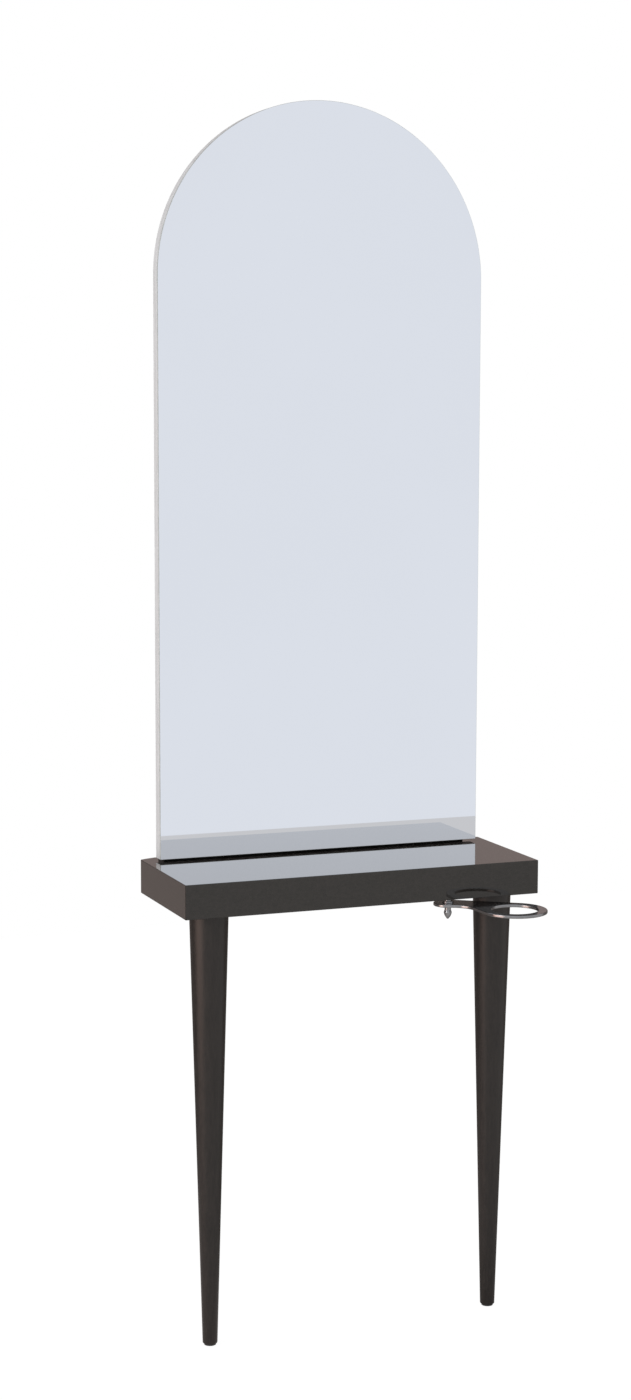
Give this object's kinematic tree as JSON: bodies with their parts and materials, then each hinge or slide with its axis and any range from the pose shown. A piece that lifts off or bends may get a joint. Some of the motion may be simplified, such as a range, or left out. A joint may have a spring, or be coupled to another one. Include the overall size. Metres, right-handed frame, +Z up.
{
  "type": "salon styling station",
  "caption": "Wall-side salon styling station: tall arched mirror over a dark glossy shelf box on tapered round legs, with a swivelling chrome tool ring under the shelf.",
  "frame": {"origin": "on the floor, where the wall's plane meets it, on the station's centre line", "axes": "+Z up, +Y into the wall, so the mirror faces -Y; +X to the right of a person facing the mirror"},
  "size_m": [0.658, 0.4027, 2.1556],
  "materials": {
    "dark_laminate": "glossy dark brown laminate on fibreboard",
    "leg_lacquer": "satin dark brown lacquer on turned wood",
    "bare_timber": "planed softwood",
    "black_paint": "flat black paint on wood",
    "silvered_glass": "polished silvered glass",
    "grey_film": "vinyl safety film",
    "fibreboard": "raw fibreboard",
    "pale_edge_band": "satin light grey edge band",
    "polished_chrome": "polished chrome plate",
    "zinc_steel": "bright zinc plate",
    "black_nylon": "moulded nylon"
  },
  "bodies": {
    "station": {"shelf_top_panel": "dark_laminate", "shelf_bottom_panel": "dark_laminate", "shelf_front_rail": "dark_laminate", "shelf_left_end_rail": "dark_laminate", "shelf_right_end_rail": "dark_laminate", "shelf_centre_rib": "bare_timber", "wall_ledger": "bare_timber", "ledger_screw_1": "zinc_steel", "ledger_screw_2": "zinc_steel", "ledger_screw_3": "zinc_steel", "left_leg": "leg_lacquer", "left_hanger_bolt": "zinc_steel", "left_leg_insert": "zinc_steel", "left_foot_glide": "black_nylon", "left_leg_block": "bare_timber", "right_leg": "leg_lacquer", "right_hanger_bolt": "zinc_steel", "right_leg_insert": "zinc_steel", "right_foot_glide": "black_nylon", "right_leg_block": "bare_timber", "mirror_glass": "silvered_glass", "mirror_safety_film": "grey_film", "mirror_board": "fibreboard", "mirror_edge_band": "pale_edge_band", "frame_bottom_rail": "black_paint", "frame_mid_rail": "black_paint", "frame_top_rail": "black_paint", "frame_left_stile": "black_paint", "frame_right_stile": "black_paint", "frame_left_foot_dowel": "bare_timber", "frame_left_mid_dowel": "bare_timber", "frame_left_top_dowel": "bare_timber", "frame_right_foot_dowel": "bare_timber", "frame_right_mid_dowel": "bare_timber", "frame_right_top_dowel": "bare_timber", "board_screw_left_bottom": "zinc_steel", "board_screw_left_mid": "zinc_steel", "board_screw_left_top": "zinc_steel", "board_screw_right_bottom": "zinc_steel", "board_screw_right_mid": "zinc_steel", "board_screw_right_top": "zinc_steel", "shelf_screw_left": "zinc_steel", "shelf_screw_right": "zinc_steel", "wall_cleat": "bare_timber", "holder_collar": "polished_chrome", "holder_washer": "black_nylon", "holder_finial": "polished_chrome", "holder_stud": "polished_chrome", "holder_insert": "zinc_steel", "holder_block": "bare_timber"},
    "holder": {"holder_arm": "polished_chrome"}
  },
  "joints": [
    {"name": "holder_swivel", "type": "hinge", "parent": "station", "child": "holder", "pos_m": [0.163, -0.2495, 0.7594], "axis": [0, 0, 1], "range_deg": [-240, 22]}
  ]
}
